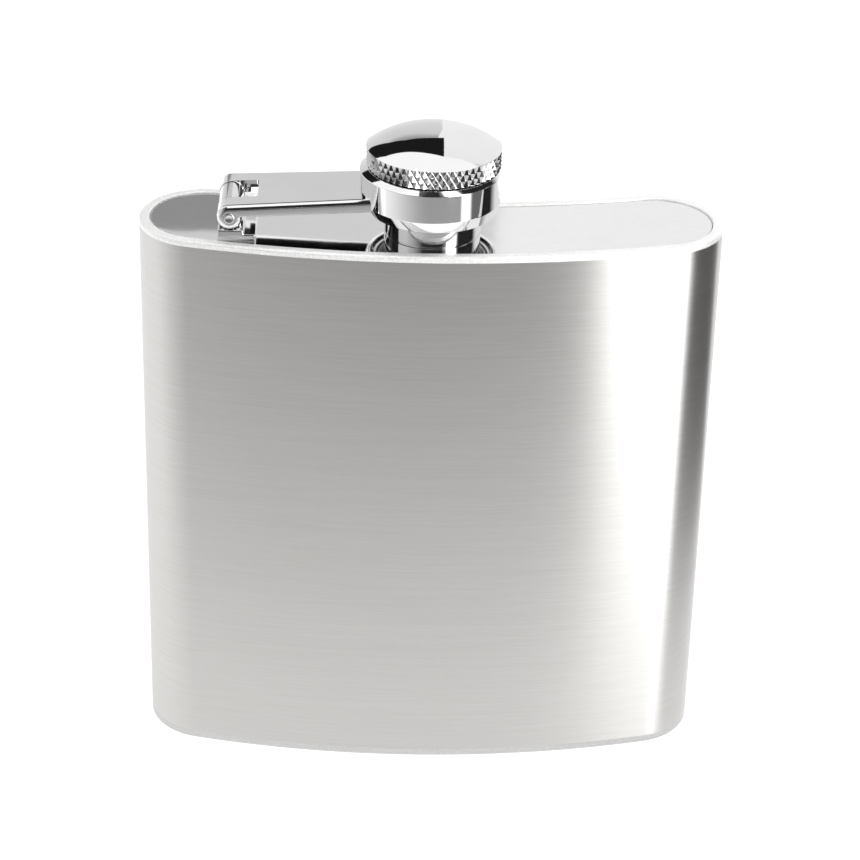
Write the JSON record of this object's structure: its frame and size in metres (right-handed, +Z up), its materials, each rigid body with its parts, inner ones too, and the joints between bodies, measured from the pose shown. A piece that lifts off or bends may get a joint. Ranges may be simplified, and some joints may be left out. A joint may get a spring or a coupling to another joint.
{
  "type": "hip flask",
  "caption": "Curved pocket hip flask: kidney-section brushed steel body with a knurled, domed screw cap held captive in a collar on a hinged arm.",
  "frame": {"origin": "on the flat bottom, under the middle of the overall width and depth", "axes": "+Z up towards the cap; +X along the width, away from the hinge; the convex front face looks to -Y and the concave back face to +Y"},
  "size_m": [0.095, 0.0258, 0.1129],
  "materials": {
    "brushed_wall": "horizontally brushed stainless steel",
    "blasted_rim": "fine satin, bead-blasted",
    "ground_foot_rim": "ground and brushed",
    "mirror_plate": "mirror-polished stainless steel",
    "satin_base": "satin stainless steel",
    "polished_neck": "mirror-polished stainless steel",
    "polished_post": "polished stainless steel",
    "steel_pin": "turned steel",
    "polished_arm": "mirror-polished stainless steel",
    "polished_collar": "mirror-polished stainless steel",
    "knurled_crown": "mirror-polished dome with a diamond-knurled band",
    "moulded_liner": "moulded off-white plastic",
    "soft_seal": "soft silicone",
    "spring_ring": "spring steel"
  },
  "bodies": {
    "flask": {"body_shell": "brushed_wall", "top_rim_weld": "blasted_rim", "top_plate": "mirror_plate", "bottom_rim_weld": "ground_foot_rim", "bottom_plate": "satin_base", "neck_spout": "polished_neck", "hinge_post": "polished_post"},
    "arm": {"hinge_arm": "polished_arm", "hinge_pin": "steel_pin", "cap_collar": "polished_collar"},
    "cap": {"cap_crown": "knurled_crown", "cap_liner": "moulded_liner", "cap_seal": "soft_seal", "cap_retainer": "spring_ring"}
  },
  "joints": [
    {"name": "arm_hinge", "type": "hinge", "parent": "flask", "child": "arm", "pos_m": [-0.03235, -0.00143, 0.09995], "axis": [0, -1, 0], "range_deg": [0, 180]},
    {"name": "cap_turn", "type": "hinge", "parent": "arm", "child": "cap", "pos_m": [0, -0.00143, 0.10678], "axis": [0, 0, 1], "continuous": true}
  ]
}
